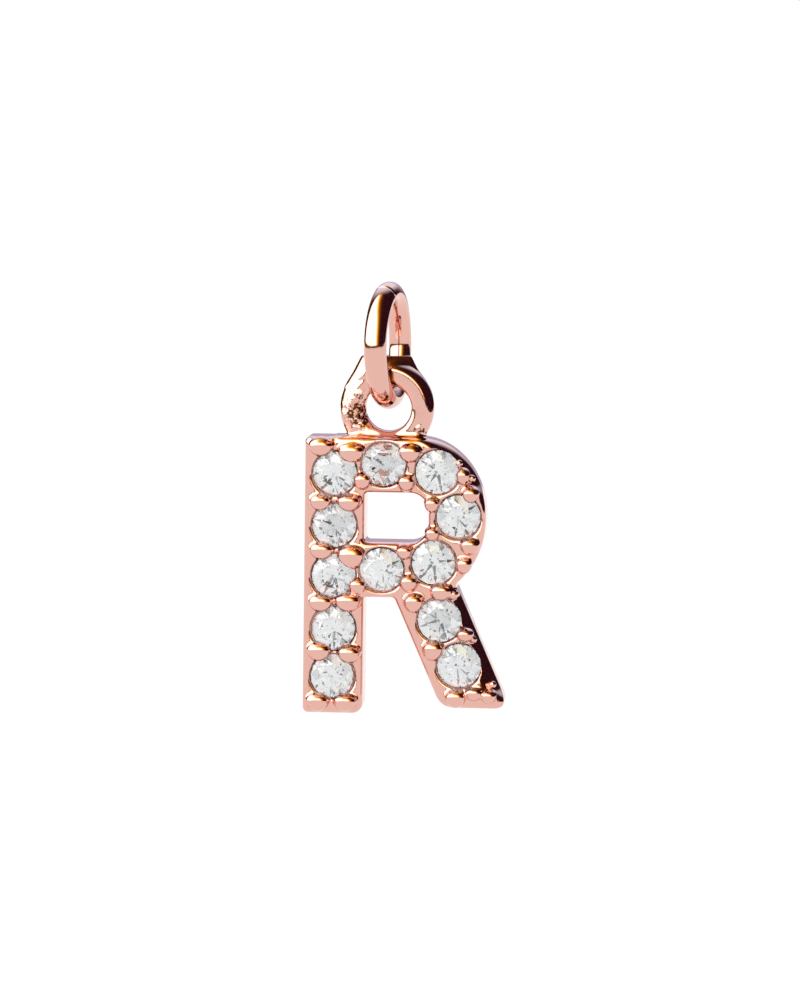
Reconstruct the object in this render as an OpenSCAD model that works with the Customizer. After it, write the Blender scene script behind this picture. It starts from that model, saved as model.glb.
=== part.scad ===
// Initial pendant: a small cast capital letter, pave set with round brilliants,
// that hangs from a round-wire jump ring.
// All sizes are in millimetres. The origin is the inside top of the jump ring, where a chain bears.
// +Z is up, +X is to the reader's right, and the set face of the letter looks towards -Y.

/* [Letter] */
// Height of the letter
letter_h = 8.03; // [7.6:0.01:9]
// Thickness of the letter, from the set face to the back
letter_t = 1.45; // [1.2:0.05:2]
// Width of the upright stem
stem_w = 1.74; // [1.7:0.02:2]
// Height of the top bar and of the lower bar
bar_h = 1.6; // [1.6:0.02:1.8]
// Height of the open counter between the two bars
counter_h = 1.44; // [1.2:0.01:1.7]
// Reach of the bowl, from the left edge of the stem
bowl_w = 5.25; // [5:0.05:6]
// Width of the rounded end of the bowl
bowl_round_w = 2.01; // [1.7:0.05:2.4]
// Width of the bowl's wall at its right
bowl_wall = 1.66; // [1.6:0.02:1.8]
// Width of the leg, square to its length
leg_w = 1.78; // [1.7:0.02:2]
// Lean of the leg from upright, in degrees
leg_lean = 23.8; // [20:0.2:27]
// Reach of the leg's foot, from the left edge of the stem
leg_reach = 5.97; // [5.7:0.01:6.4]
// Height of the leg's foot above the foot of the stem
leg_lift = 0.21; // [0:0.01:0.3]

/* [Edges] */
// Bevel round the front and back edges of the letter
edge_bevel = 0.1; // [0.05:0.01:0.12]
// Radius of the small outer corners
corner_r = 0.16; // [0.14:0.01:0.3]
// Radius of the stem's inner foot corner
stem_foot_r = 0.29; // [0.14:0.01:0.4]
// Radius of the leg's inner foot corner
leg_foot_r = 0.43; // [0.14:0.01:0.6]
// Radius of the counter's corners beside the stem
counter_left_r = 0.1; // [0.05:0.01:0.2]
// Radius of the counter's corners inside the bowl
counter_right_r = 0.55; // [0.3:0.05:0.59]

/* [Stones] */
// Diameter of each round brilliant
stone_d = 1.28; // [1.2:0.02:1.3]
// Largest tilt of a stone in its seat, in degrees
stone_tilt = 3; // [0:0.5:4]
// Gap all round a stone in its seat
stone_gap = 0.02; // [0.01:0.005:0.03]
// Depth of the girdle's upper edge below the set face
girdle_depth = 0.08; // [0.04:0.01:0.15]
// Height of the top stone of the stem below the letter's top
stem_row_top = 1.06; // [1:0.01:1.2]
// Height of the lowest stone of the stem above the letter's foot
stem_row_foot = 1.08; // [1:0.01:1.2]
// Distance of the leg's lower stone from the foot, along the leg
leg_row_foot = 1.32; // [1.1:0.01:1.5]
// Distance between the leg's two stones
leg_row_pitch = 1.44; // [1.4:0.01:1.6]
// Shift of the leg's stones from its middle, to the right
leg_row_shift = 0.08; // [0:0.01:0.12]

/* [Prongs] */
// Height of the bead prongs above the set face
prong_rise = 0.22; // [0.16:0.01:0.3]
// Depth of a prong's root in the metal
prong_root = 0.2; // [0.1:0.05:0.3]

/* [Hanging loop] */
// Diameter of the loop's hole
hole_d = 1.32; // [1.2:0.02:1.6]
// Width of the loop's band, round the hole
loop_band = 0.7; // [0.5:0.02:0.8]
// Thickness of the loop, front to back
loop_t = 0.76; // [0.7:0.02:1]
// Radius of the loop's rounded edges
loop_edge_r = 0.3; // [0.15:0.01:0.32]
// Height of the hole's centre above the letter's top
loop_rise = 0.82; // [0.8:0.01:1]
// Distance of the loop's centre from the left edge of the stem
loop_from_left = 2.37; // [2.2:0.01:2.7]
// Width of the loop's flat shoulder at its top
shoulder_w = 1.42; // [1:0.02:1.6]
// Shift of the shoulder to the right of the hole's centre, as it was filed
shoulder_shift = -0.1; // [-0.2:0.01:0.2]
// Height of the shoulder above the band's own top
shoulder_rise = 0.15; // [0.05:0.01:0.2]
// Thickness of the shoulder, front to back
shoulder_t = 0.5; // [0.4:0.02:0.55]

/* [Jump ring] */
// Outer diameter of the jump ring
ring_od = 3.69; // [3.4:0.05:4.5]
// Diameter of its wire
wire_d = 0.65; // [0.5:0.05:0.75]
// Width of the closed seam, which is a hair-fine cut
seam_gap = 0.02; // [0.01:0.01:0.04]
// Place of the seam, in degrees from the ring's top towards the front
seam_angle = 20; // [0:5:60]
// Turn of the ring about the upright, in degrees, its front edge to the left
ring_turn = 9.6; // [0:0.2:15]
// Lean of the ring to the right, in degrees
ring_lean = 0; // [-3:0.2:6]
// Gap between the wire and the loop that hangs on it
hang_gap = 0.05; // [0.04:0.01:0.1]
// Angle at which the letter comes to hang, in degrees, its foot to the left
letter_hang = 0.7; // [-2:0.1:2]

/* [Hidden] */
// Places of the stem's stones, as shares of the row from its top stone to its lowest
STEM_ROW = [0, 0.254, 0.504, 0.763, 1];
// Place of the stone in the top bar and in the lower bar, as a share of the counter's width
TOP_BAR_SHARE = 0.293;
LOWER_BAR_SHARE = 0.277;
// Lift of the top bar's stone above the bar's middle
TOP_BAR_LIFT = 0.03;
// Stones of the bowl: angle from the level in degrees, and share of the wall's middle line
BOWL_ROW = [[60, 1.025], [2, 1.04], [-62, 0.95]];

// Bead prongs above the leg. Columns: from stone, to stone, place along the line between their
// centres as a share of it, place beside it as a share of the stone's diameter (to the right for a
// line that runs down, up for one that runs right), and radius as a share of the stone's diameter
PRONGS = [
    [1, 2, -0.48, -0.31, 0.22], [1, 2, -0.42, 0.37, 0.28], [1, 6, 0.52, -0.27, 0.21],
    [1, 2, 0.55, -0.31, 0.23], [1, 2, 0.55, 0.33, 0.25], [2, 3, 0.50, -0.27, 0.25],
    [2, 3, 0.61, 0.39, 0.31], [3, 4, 0.51, -0.28, 0.25], [3, 4, 0.49, 0.33, 0.27],
    [4, 5, 0.48, -0.31, 0.26], [4, 5, 0.52, 0.37, 0.25], [4, 5, 1.53, -0.33, 0.25],
    [4, 5, 1.53, 0.30, 0.25], [6, 7, 0.45, 0.35, 0.25], [6, 7, 0.46, -0.33, 0.21],
    [7, 8, 0.29, 0.48, 0.18], [7, 8, 0.69, 0.46, 0.20], [7, 8, 0.54, -0.42, 0.19],
    [8, 9, 0.38, 0.53, 0.22], [8, 9, 0.52, -0.34, 0.18], [8, 9, 0.76, 0.62, 0.20],
    [10, 9, 0.48, 0.34, 0.19], [10, 9, 0.48, -0.37, 0.22], [3, 10, 0.47, -0.29, 0.21],
    [9, 11, 0.65, -0.54, 0.24], [9, 11, 0.51, 0.10, 0.24], [9, 11, 0.58, 0.37, 0.12]
];
// Bead prongs below each stone of the leg, and below its lowest stone. Columns: place down the leg
// from the stone's centre as a share of the row's pitch, place beside it and radius as above
LEG_PRONGS = [[0.50, -0.40, 0.25], [0.50, 0.35, 0.25]];
LEG_FOOT_PRONGS = [[0.57, -0.36, 0.24], [0.63, 0.06, 0.19], [0.86, 0.30, 0.20]];

// How each stone sits. Columns: tilt back and tilt to the right as shares of the largest, and turn
// about its own axis in degrees
TILTS = [
    [0.6, -0.5, 8], [-0.7, 0.4, 31], [0.9, 0.3, 17], [-0.4, -0.8, 3], [0.5, 0.9, 39], [-0.8, -0.2, 24],
    [0.3, 0.7, 12], [0.8, -0.6, 35], [-0.5, 0.8, 6], [0.7, -0.9, 28], [-0.9, 0.5, 20], [0.4, -0.3, 42]
];

// Foot of the loop's shoulder, as a share of the band from the hole, and its spread for each height
SHOULDER_FOOT_SHARE = 0.15;
SHOULDER_SLOPE = 0.5;

// Cut of a brilliant, as shares of its diameter
table_share = 0.57;
crown_share = 0.15;
girdle_share = 0.03;
pavilion_share = 0.43;
// Where the star facets end and where the lower halves meet, as shares of the girdle's radius
star_share = 0.78;
lower_share = 0.22;

// Steps in which a corner, the bowl's round end, a band's edge and a prong's dome are drawn
corner_steps = 6;
bowl_steps = 28;
edge_steps = 4;
dome_steps = 4;
// Overrun of a cut past the faces that it goes through
overrun = 0.5;
// Thickness of the thin plates between which the counter's flare is drawn
sliver = 0.01;
$fn = 48;

// Heights in the letter's own face, whose corner is the foot of the stem's left edge
bowl_foot = letter_h - 2 * bar_h - counter_h;
bowl_mid = letter_h - bar_h - counter_h / 2;
counter_w = bowl_w - bowl_wall - stem_w;
counter_foot = letter_h - bar_h - counter_h;
bowl_half_h = bar_h + counter_h / 2;
bowl_round_x = bowl_w - bowl_round_w;
// Direction up the leg, and square to it
leg_dir = [-sin(leg_lean), cos(leg_lean)];
leg_side = [cos(leg_lean), sin(leg_lean)];
leg_level_w = leg_w / cos(leg_lean);
leg_top = bowl_foot + bar_h / 2;
foot_middle = [leg_reach - leg_level_w / 2, leg_lift];

// The ring hangs from the origin, and the loop from the ring's lowest point
ring_up = [sin(ring_lean), 0, cos(ring_lean)];
ring_inner_r = ring_od / 2 - wire_d;
ring_mid_r = ring_od / 2 - wire_d / 2;
ring_centre = -ring_inner_r * ring_up;
swing_centre = ring_centre - ring_mid_r * ring_up;
loop_centre = swing_centre - [0, 0, (hole_d - wire_d) / 2 - hang_gap];
letter_corner = loop_centre - [loop_from_left, 0, loop_rise + letter_h];

// Sizes of a stone
stone_r = stone_d / 2;
crown_h = crown_share * stone_d;
girdle_h = girdle_share * stone_d;
pavilion_h = pavilion_share * stone_d;
table_r = table_share * stone_r;
star_r = star_share * stone_r;
star_z = crown_h * (stone_r - star_r * cos(22.5)) / (stone_r - table_r);
lower_r = lower_share * stone_r;
lower_z = -girdle_h - pavilion_h * (1 - lower_share * cos(22.5));

// The leg's row holds as many stones as fit below the bowl's lowest stone, with this gap at least
leg_row_clear = 0.08;
bowl_stones = [for (row = BOWL_ROW) bowl_point(row[0], row[1])];
leg_room = (bowl_stones[2] - foot_middle) * leg_dir - leg_row_foot - stone_d - leg_row_clear;
leg_stones = 1 + floor(leg_room / leg_row_pitch);
leg_row = [for (i = [leg_stones - 1:-1:0])
    foot_middle + leg_row_shift * leg_side + (leg_row_foot + i * leg_row_pitch) * leg_dir];

// Centres of the stones in the letter's face, in the order of their names
STONES = concat(
    [for (share = STEM_ROW)
        [stem_w / 2, letter_h - stem_row_top - share * (letter_h - stem_row_top - stem_row_foot)]],
    [[stem_w + TOP_BAR_SHARE * counter_w, letter_h - bar_h / 2 + TOP_BAR_LIFT]],
    bowl_stones,
    [[stem_w + LOWER_BAR_SHARE * counter_w, bowl_foot + bar_h / 2]],
    leg_row
);

function stone_name(i) = str("stone_", i < 10 ? "0" : "", i);
function unit(v) = v / norm(v);
function side_of(v) = [-v[1], v[0]];

// A point of the bowl at an angle, at a share of the line down the middle of its wall
function bowl_point(angle, share) =
    [bowl_round_x + share * (bowl_round_w - bowl_wall / 2) * cos(angle),
     bowl_mid + share * (bowl_half_h - bar_h / 2) * sin(angle)];

// The arc that rounds the corner at p, between the corners before and after it
function corner_arc(before, p, after, r) =
    let (
        a = unit(before - p),
        b = unit(after - p),
        half = acos(a * b) / 2,
        centre = p + unit(a + b) * r / sin(half),
        start = p + a * r / tan(half) - centre,
        end = p + b * r / tan(half) - centre,
        start_angle = atan2(start[1], start[0]),
        plain_turn = atan2(end[1], end[0]) - start_angle,
        turn = plain_turn > 180 ? plain_turn - 360 : plain_turn < -180 ? plain_turn + 360 : plain_turn
    )
    [for (i = [0:corner_steps])
        let (angle = start_angle + turn * i / corner_steps)
        centre + r * [cos(angle), sin(angle)]];

// An outline with each of its corners rounded by its own radius
function rounded(points, radii) =
    let (n = len(points))
    [for (i = [0:n - 1], q = radii[i] > 0
        ? corner_arc(points[(i + n - 1) % n], points[i], points[(i + 1) % n], radii[i])
        : [points[i]]) q];

// An outline drawn anticlockwise, moved inwards by a distance
function inset(points, distance) =
    let (n = len(points))
    [for (i = [0:n - 1])
        let (
            in_side = side_of(unit(points[i] - points[(i + n - 1) % n])),
            out_side = side_of(unit(points[(i + 1) % n] - points[i]))
        )
        points[i] + distance * (in_side + out_side) / (1 + in_side * out_side)];

// Outlines of the letter's three strokes and of its counter, anticlockwise
function stem_outline() = rounded(
    [[0, 0], [stem_w, 0], [stem_w, letter_h], [0, letter_h]],
    [corner_r, stem_foot_r, corner_r, corner_r]
);
function bowl_outline() = concat(
    [[stem_w / 2, bowl_foot]],
    [for (i = [0:bowl_steps])
        let (angle = 180 * i / bowl_steps - 90)
        [bowl_round_x + bowl_round_w * cos(angle), bowl_mid + bowl_half_h * sin(angle)]],
    [[stem_w / 2, letter_h]]
);
function leg_outline() =
    let (climb = (leg_top - leg_lift) / cos(leg_lean) * leg_dir)
    rounded(
        [foot_middle - [leg_level_w / 2, 0], foot_middle + [leg_level_w / 2, 0],
         foot_middle + [leg_level_w / 2, 0] + climb, foot_middle - [leg_level_w / 2, 0] + climb],
        [leg_foot_r, corner_r, 0, 0]
    );
function counter_outline() = rounded(
    [[stem_w, counter_foot], [stem_w + counter_w, counter_foot],
     [stem_w + counter_w, counter_foot + counter_h], [stem_w, counter_foot + counter_h]],
    [counter_left_r, counter_right_r, counter_right_r, counter_left_r]
);

// Section of the loop's band, with its edges rounded, beside the axis of the hole
function band_section() =
    let (inner = hole_d / 2, outer = hole_d / 2 + loop_band, half = loop_t / 2)
    [for (corner = [[outer, half, 0], [inner, half, 90], [inner, -half, 180], [outer, -half, 270]],
          i = [0:edge_steps])
        let (
            angle = corner[2] + 90 * i / edge_steps,
            x_sign = corner[0] > inner ? -1 : 1,
            y_sign = corner[1] > 0 ? -1 : 1
        )
        [corner[0] + loop_edge_r * (x_sign + cos(angle)), corner[1] + loop_edge_r * (y_sign + sin(angle))]];

// Stands the letter's face up: its x stays right, its y becomes up, and its z looks at the reader.
// The whole hangs turned a little about the wire.
module in_letter() {
    translate(swing_centre) rotate([0, letter_hang, 0]) translate(-swing_centre)
        translate(letter_corner) rotate([90, 0, 0]) children();
}

// Each stone is set a little turned and tilted, as hand-set stones are
module at_stone(i) {
    row = TILTS[i % len(TILTS)];
    translate([STONES[i][0], STONES[i][1], letter_t / 2 - girdle_depth])
        rotate([stone_tilt * row[0], stone_tilt * row[1], row[2]])
            children();
}

module slab(outline, thickness) {
    translate([0, 0, -thickness / 2]) linear_extrude(thickness) polygon(outline);
}

module bevelled_slab(outline) {
    hull() {
        slab(outline, letter_t - 2 * edge_bevel);
        slab(inset(outline, edge_bevel), letter_t);
    }
}

// Flare of the counter at one face of the letter
module counter_flare() {
    hull() {
        translate([0, 0, letter_t / 2 - edge_bevel]) linear_extrude(sliver) polygon(counter_outline());
        translate([0, 0, letter_t / 2 + edge_bevel])
            linear_extrude(sliver) polygon(inset(counter_outline(), -2 * edge_bevel));
    }
}

// One bead prong: a dome on a short root, placed by its row along and beside a line of stones
module prong(from, step, row) {
    place = from + row[0] * step + row[1] * stone_d * side_of(unit(step));
    r = row[2] * stone_d;
    dome = [for (i = [0:dome_steps])
        let (angle = 90 * i / dome_steps)
        [r * cos(angle), prong_rise * sin(angle)]];
    translate([place[0], place[1], letter_t / 2])
        rotate_extrude() polygon(concat([[0, -prong_root], [r, -prong_root]], dome));
}

module prongs() {
    for (row = PRONGS) {
        from = STONES[row[0] - 1];
        prong(from, STONES[row[1] - 1] - from, [row[2], row[3], row[4]]);
    }
    for (i = [0:leg_stones - 1], row = i < leg_stones - 1 ? LEG_PRONGS : LEG_FOOT_PRONGS)
        prong(leg_row[i], -leg_row_pitch * leg_dir, row);
}

// The room that a stone and its gap take out of the metal
module seat() {
    rotate_extrude()
        polygon([
            [0, -girdle_h - pavilion_h - 2 * stone_gap],
            [stone_r + stone_gap, -girdle_h - stone_gap],
            [stone_r + stone_gap, stone_gap],
            [star_r + 2 * stone_gap, star_z + stone_gap],
            [table_r + stone_gap, crown_h + stone_gap],
            [0, crown_h + stone_gap]
        ]);
}

module loop() {
    translate([loop_from_left, letter_h + loop_rise, 0]) {
        rotate_extrude() polygon(band_section());
        shoulder_top = hole_d / 2 + loop_band + shoulder_rise;
        shoulder_foot = hole_d / 2 + SHOULDER_FOOT_SHARE * loop_band;
        shoulder_spread = SHOULDER_SLOPE * (shoulder_top - shoulder_foot);
        translate([shoulder_shift, 0, 0]) linear_extrude(shoulder_t, center = true)
            polygon([
                [-shoulder_w / 2, shoulder_top],
                [-shoulder_w / 2 - shoulder_spread, shoulder_foot],
                [shoulder_w / 2 + shoulder_spread, shoulder_foot],
                [shoulder_w / 2, shoulder_top]
            ]);
    }
}

module letter_setting() {
    color("#e7bcaf") in_letter() {
        difference() {
            union() {
                bevelled_slab(stem_outline());
                bevelled_slab(bowl_outline());
                bevelled_slab(leg_outline());
                prongs();
            }
            slab(counter_outline(), letter_t + 2 * overrun);
            for (side = [0, 1]) mirror([0, 0, side]) counter_flare();
            for (i = [0:len(STONES) - 1]) at_stone(i) seat();
        }
        loop();
    }
}

// A round brilliant: its table, star, kite and girdle facets above, its mains and halves below
module brilliant() {
    function ring(r, z, count, offset) =
        [for (i = [0:count - 1]) [r * cos(offset + 360 * i / count), r * sin(offset + 360 * i / count), z]];
    points = concat(
        ring(table_r, crown_h, 8, 0),
        ring(star_r, star_z, 8, 22.5),
        ring(stone_r, 0, 16, 0),
        ring(stone_r, -girdle_h, 16, 0),
        ring(lower_r, lower_z, 8, 22.5),
        [[0, 0, -girdle_h - pavilion_h]]
    );
    hull() polyhedron(points, [[for (i = [0:len(points) - 1]) i]]);
}

module stone(i) {
    color("#dfe3e4") in_letter() at_stone(i) brilliant();
}

module jump_ring() {
    color("#e7bcaf")
        translate(ring_centre) rotate([0, ring_lean, 0]) rotate([0, 0, -ring_turn]) rotate([0, 90, 0])
            difference() {
                rotate_extrude() translate([ring_mid_r, 0]) circle(wire_d / 2);
                rotate([0, 0, 180 + seam_angle])
                    translate([ring_mid_r - wire_d, -seam_gap / 2, -wire_d])
                        cube([2 * wire_d, seam_gap, 2 * wire_d]);
            }
}

letter_setting();
jump_ring();
for (i = [0:len(STONES) - 1]) stone(i);
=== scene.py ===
"""The initial pendant: a polished rose gold casting set with round brilliants, on its jump ring."""

import math

import bpy
import numpy as np
from mathutils import Matrix, Vector


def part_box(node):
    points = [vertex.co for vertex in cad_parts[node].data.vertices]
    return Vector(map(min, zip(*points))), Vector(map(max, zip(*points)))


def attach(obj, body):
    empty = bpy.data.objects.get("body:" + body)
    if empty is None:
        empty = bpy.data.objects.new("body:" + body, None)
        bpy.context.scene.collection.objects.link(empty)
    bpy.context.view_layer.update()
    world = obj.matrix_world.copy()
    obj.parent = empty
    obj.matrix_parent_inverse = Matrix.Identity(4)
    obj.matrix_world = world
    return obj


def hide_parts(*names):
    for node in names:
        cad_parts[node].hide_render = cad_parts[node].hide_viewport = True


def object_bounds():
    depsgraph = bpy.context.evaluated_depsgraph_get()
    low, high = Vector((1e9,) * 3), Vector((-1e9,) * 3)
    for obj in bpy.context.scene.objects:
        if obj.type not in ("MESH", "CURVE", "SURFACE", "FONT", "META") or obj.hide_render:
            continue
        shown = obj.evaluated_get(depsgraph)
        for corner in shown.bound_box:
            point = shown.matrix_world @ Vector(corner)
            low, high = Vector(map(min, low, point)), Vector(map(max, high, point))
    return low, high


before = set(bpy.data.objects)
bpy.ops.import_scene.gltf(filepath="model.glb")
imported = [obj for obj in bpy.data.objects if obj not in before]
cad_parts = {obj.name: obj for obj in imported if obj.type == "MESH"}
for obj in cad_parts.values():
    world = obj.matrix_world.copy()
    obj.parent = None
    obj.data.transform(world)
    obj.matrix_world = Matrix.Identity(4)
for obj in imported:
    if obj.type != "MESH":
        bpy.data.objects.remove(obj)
cad_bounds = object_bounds()

MM = 0.001
# Keeps a division from being by zero
TINY = 1e-9

# The letter, in millimetres, as in the part's source
LETTER_H = 8.03
STEM_W = 1.74
BAR_H = 1.6
COUNTER_H = 1.44
BOWL_W = 5.25
BOWL_ROUND_W = 2.01
BOWL_WALL = 1.66
LEG_W = 1.78
LEG_LEAN = math.radians(23.8)
LEG_REACH = 5.97
LEG_LIFT = 0.21
STEM_ROW_TOP = 1.06
HOLE_R = 0.66
LOOP_BAND = 0.7
LOOP_T = 0.76
LOOP_RISE = 0.82
LOOP_FROM_LEFT = 2.37
SHOULDER_W = 1.42
SHOULDER_SHIFT = -0.1
SHOULDER_RISE = 0.15
STONE_D = 1.28
GIRDLE_DEPTH = 0.08
STONE_NUMBERS = range(1, 13)

# The jump ring
RING_OD = 3.69
WIRE_D = 0.65
RING_TURN = math.radians(9.6)
SEAM_ANGLE = math.radians(20)
SEAM_GAP = 0.02
WIRE_END_ROUND = 0.03
WIRE_STATIONS = 320
WIRE_SIDES = 40
# How far the ring's front and back lie to the right of its top and foot (to the left, below
# zero), as in wire closed by hand
RING_BOW = -0.04

# Sizes that follow from these
BOWL_FOOT = LETTER_H - 2 * BAR_H - COUNTER_H
BOWL_MID = LETTER_H - BAR_H - COUNTER_H / 2
BOWL_HALF_H = BAR_H + COUNTER_H / 2
BOWL_ROUND_X = BOWL_W - BOWL_ROUND_W
COUNTER_W = BOWL_W - BOWL_WALL - STEM_W
COUNTER_FOOT = BOWL_FOOT + BAR_H
STONE_R = STONE_D / 2

# Corners of the letter's outline, seen from the front
STEM_HEAD_R = 0.17
STEM_FOOT_LEFT_R = 0.16
STEM_FOOT_RIGHT_R = 0.3
LEG_FOOT_LEFT_R = 0.36
LEG_FOOT_RIGHT_R = 0.4
COUNTER_LEFT_R = 0.11
COUNTER_RIGHT_R = 0.55

# Width and height of the round along the letter's front edge, where it is plain and where it is
# wide, its height on the level upper edges, and the back edge's round
FACE_EDGE_W = 0.16
FACE_EDGE_H = 0.18
OUTER_EDGE_W = 0.46
OUTER_EDGE_H = 0.6
TOP_EDGE_H = 0.3
BACK_EDGE_R = 0.2
# A round's power, which is 2 for a quarter of an ellipse and less when nearer to a bevel, and how
# much less it is on the wide round
ROUND = 2
OUTER_BEVEL = 0.6

# Where the wide round begins or ends, each with the distance that the change takes: on the bowl, to
# the right of its curve's start and above its middle, and on the leg, to the right of its middle
# line, above the bowl's foot (an end) and above the leg's own foot
BOWL_WIDE_X = (0.0, 0.9)
BOWL_WIDE_Y = (0.55, 0.5)
LEG_WIDE_X = (0.0, 0.5)
LEG_WIDE_TOP = (0.4, 0.4)
LEG_WIDE_FOOT = (0.2, 0.4)
# The same for the upper edges' height: at the letter's top, above it and to the right of the stem's
# left side, and under the counter, above its foot (a start and an end), to the right of its left
# side, and to the right of its right side (an end)
TOP_RISE_Y = (-0.5, 0.3)
TOP_RISE_X = (0.05, 0.35)
SILL_BELOW = (-0.4, 0.3)
SILL_ABOVE = (0.4, 0.3)
SILL_LEFT = (0.05, 0.2)
SILL_RIGHT = (-0.1, 0.3)

# How softly two shapes meet
CORNER_BLEND = 0.09
COUNTER_BLEND = 0.03
LOOP_BLEND = 0.16
PRONG_BLEND = 0.03
SEAT_BLEND = 0.02
ROOM_BLEND = 0.008
HOLE_BLEND = 0.02

# A stone's seat: play beside the girdle and below it, how fast the cone narrows, the depth below
# the face and the slope of the flare at its mouth, and what makes the whole a true distance
SEAT_PLAY = 0.014
SEAT_DROP = 0.03
SEAT_SLOPE = 1.05
FLARE_DEPTH = 0.06
FLARE_SLOPE = 0.8
SEAT_TRUE = 0.75
# The room kept free of beads: play beside the girdle, how fast the crown narrows, height above the
# girdle and depth below it, and what makes the crown a true distance
ROOM_PLAY = 0.012
CROWN_SLOPE = 1.05
ROOM_ABOVE = 0.2
ROOM_BELOW = 0.06
ROOM_TRUE = 0.72
# Half the width of the square in which a stone or a bead changes the metal
STONE_REACH = 0.9
PRONG_REACH = 0.7

# Bead prongs: rise of a large bead above the face, radius from which a bead has all of that rise,
# and depth of its middle below the face
PRONG_RISE = 0.24
PRONG_FULL_R = 0.32
PRONG_SINK = 0.1
# How square a bead is below its crest, beside it and above it: 2 is a half ball, more is flatter
# on top with steeper sides, and less is nearer to a cone
PRONG_POWER_BELOW = 4.5
PRONG_POWER_BESIDE = 2.4
PRONG_POWER_ABOVE = 1.45
# Place of a bead's crest above its middle, as a share of its half height, and fall of its face
# below the crest
PRONG_CREST = 0.2
PRONG_FALL = 0.22
# From stone, to stone, place along the line between them as a share of it, place beside it and
# radius as shares of a stone's diameter, and width over height as seen on the upright letter
PRONGS = [
    (1, 2, -0.52, -0.31, 0.26, 1.25), (1, 2, -0.42, 0.37, 0.28, 1.3),
    (1, 6, 0.52, -0.27, 0.21, 1.0), (1, 2, 0.55, -0.31, 0.23, 1.2),
    (1, 2, 0.55, 0.33, 0.25, 1.3), (2, 3, 0.50, -0.27, 0.25, 1.3),
    (2, 3, 0.61, 0.39, 0.31, 1.1), (3, 4, 0.51, -0.28, 0.25, 1.3),
    (3, 4, 0.49, 0.33, 0.27, 1.3), (4, 5, 0.48, -0.31, 0.26, 1.2),
    (4, 5, 0.52, 0.37, 0.25, 1.2), (4, 5, 1.53, -0.33, 0.25, 1.2),
    (4, 5, 1.53, 0.30, 0.25, 1.3), (6, 7, 0.45, 0.35, 0.25, 1.2),
    (6, 7, 0.46, -0.33, 0.21, 1.0), (7, 8, 0.29, 0.48, 0.18, 0.8),
    (7, 8, 0.69, 0.46, 0.20, 1.0), (7, 8, 0.54, -0.42, 0.19, 1.0),
    (8, 9, 0.38, 0.53, 0.22, 1.1), (8, 9, 0.52, -0.34, 0.18, 1.0),
    (8, 9, 0.76, 0.62, 0.20, 0.9), (10, 9, 0.48, 0.34, 0.19, 1.1),
    (10, 9, 0.48, -0.37, 0.22, 1.0), (3, 10, 0.47, -0.29, 0.21, 1.0),
    (9, 11, 0.65, -0.54, 0.24, 1.0), (9, 11, 0.51, 0.10, 0.24, 1.2),
    (9, 11, 0.58, 0.37, 0.12, 1.0), (11, 12, 0.50, -0.40, 0.25, 1.0),
    (11, 12, 0.47, 0.40, 0.18, 1.2), (11, 12, 1.57, -0.36, 0.24, 1.1),
    (11, 12, 1.63, 0.06, 0.19, 1.3), (11, 12, 1.80, 0.34, 0.18, 1.1),
]

# Small leftover balls of metal on the rounded rims: right and up in the letter, and height of the
# ball's middle above the face
NUBS = [
    (4.458, 7.318, -0.06), (4.833, 6.884, -0.14), (4.934, 2.217, -0.14), (5.512, 0.916, -0.12),
]
NUB_R = 0.11

# The loop: how far its outside lies to the right of its hole (to the left, below zero), the round
# of its outer edge with the changes in its upper part and at its left, and where those changes
# begin above the hole's middle and end to the right of it, each with the distance that it takes
BAND_SHIFT = -0.05
LOOP_EDGE_W = 0.27
LOOP_EDGE_H = 0.29
TOP_NARROWER = 0.05
TOP_DEEPER = 0.06
TOP_BEVEL = 0.7
LEFT_WIDER = 0.08
LOOP_UPPER = (-0.5, 0.7)
LOOP_LEFT = (0.1, 0.3)
# The round of the hole's edge, what wear adds to it, and the round of the back edges
HOLE_EDGE = 0.14
WORN_WIDER = 0.3
WORN_DEEPER = 0.1
LOOP_BACK_EDGE = (0.2, 0.2)
# Its flat-topped shoulder: width gained on each side for each millimetre down, half thickness,
# rounds, height of its foot above the hole's middle, place of its left end to the right of its
# own middle, and its blend with the band
SHOULDER_SLOPE = 0.5
SHOULDER_HALF_T = 0.36
SHOULDER_EDGE = (0.12, 0.12)
SHOULDER_BACK_EDGE = (0.19, 0.19)
SHOULDER_FOOT = HOLE_R + 0.2
SHOULDER_LEFT = -0.4
SHOULDER_BLEND = 0.12
# The shoulder's left corner, which is drawn with the band: its foot, its right end and its blend
HORN_FOOT = HOLE_R - 0.06
HORN_RIGHT = -0.15
HORN_BLEND = 0.1
# The shoulder's filed front: a point of it, the way that it looks (right, up and out of the
# letter's face), and the softness of the edges that filing leaves
FILED_AT = (-0.2, 1.0, 0.41)
FILED_WAY = (0.42, 0.14, 0.897)
FILED_BLEND = 0.05

# Rough places left on the loop by casting, from the middle of its hole: right, up, reach, height
LOOP_ROUGH = [(-0.84, -0.2, 0.5, 0.035), (0.98, -0.66, 0.16, 0.02), (-0.82, 0.35, 0.14, 0.014)]
# Where the lumps are gone, as a share of the reach, where the pits begin to thin out, and the
# distance from back to front over which the lumps begin
ROUGH_END = 1.5
PITS_FULL = 0.6
ROUGH_DEPTH = 0.3
# The lumps' steps for each millimetre, with their weights, and what mixes their levels
LUMP_STEPS = ((7.0, 0.6), (15.0, 0.4))
LUMP_MIX = (73856093, 19349663, 83492791)
LUMP_LEVELS = 8191

# The net that the casting's surface is drawn with: size of a cell, and the two corners of its
# room in the letter's right, up and out
CELL = 0.0434
NET_LOW = (-0.16, -0.16, -0.9)
NET_HIGH = (6.1, 10.5, 1.1)
# Settling: step for a slope, least squared slope, and longest move in a round
SLOPE_STEP = 0.004
LEAST_SLOPE = 0.25
LONGEST_MOVE = 0.4 * CELL


def stone_name(number):
    return f"stone_{number:02d}"


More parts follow.
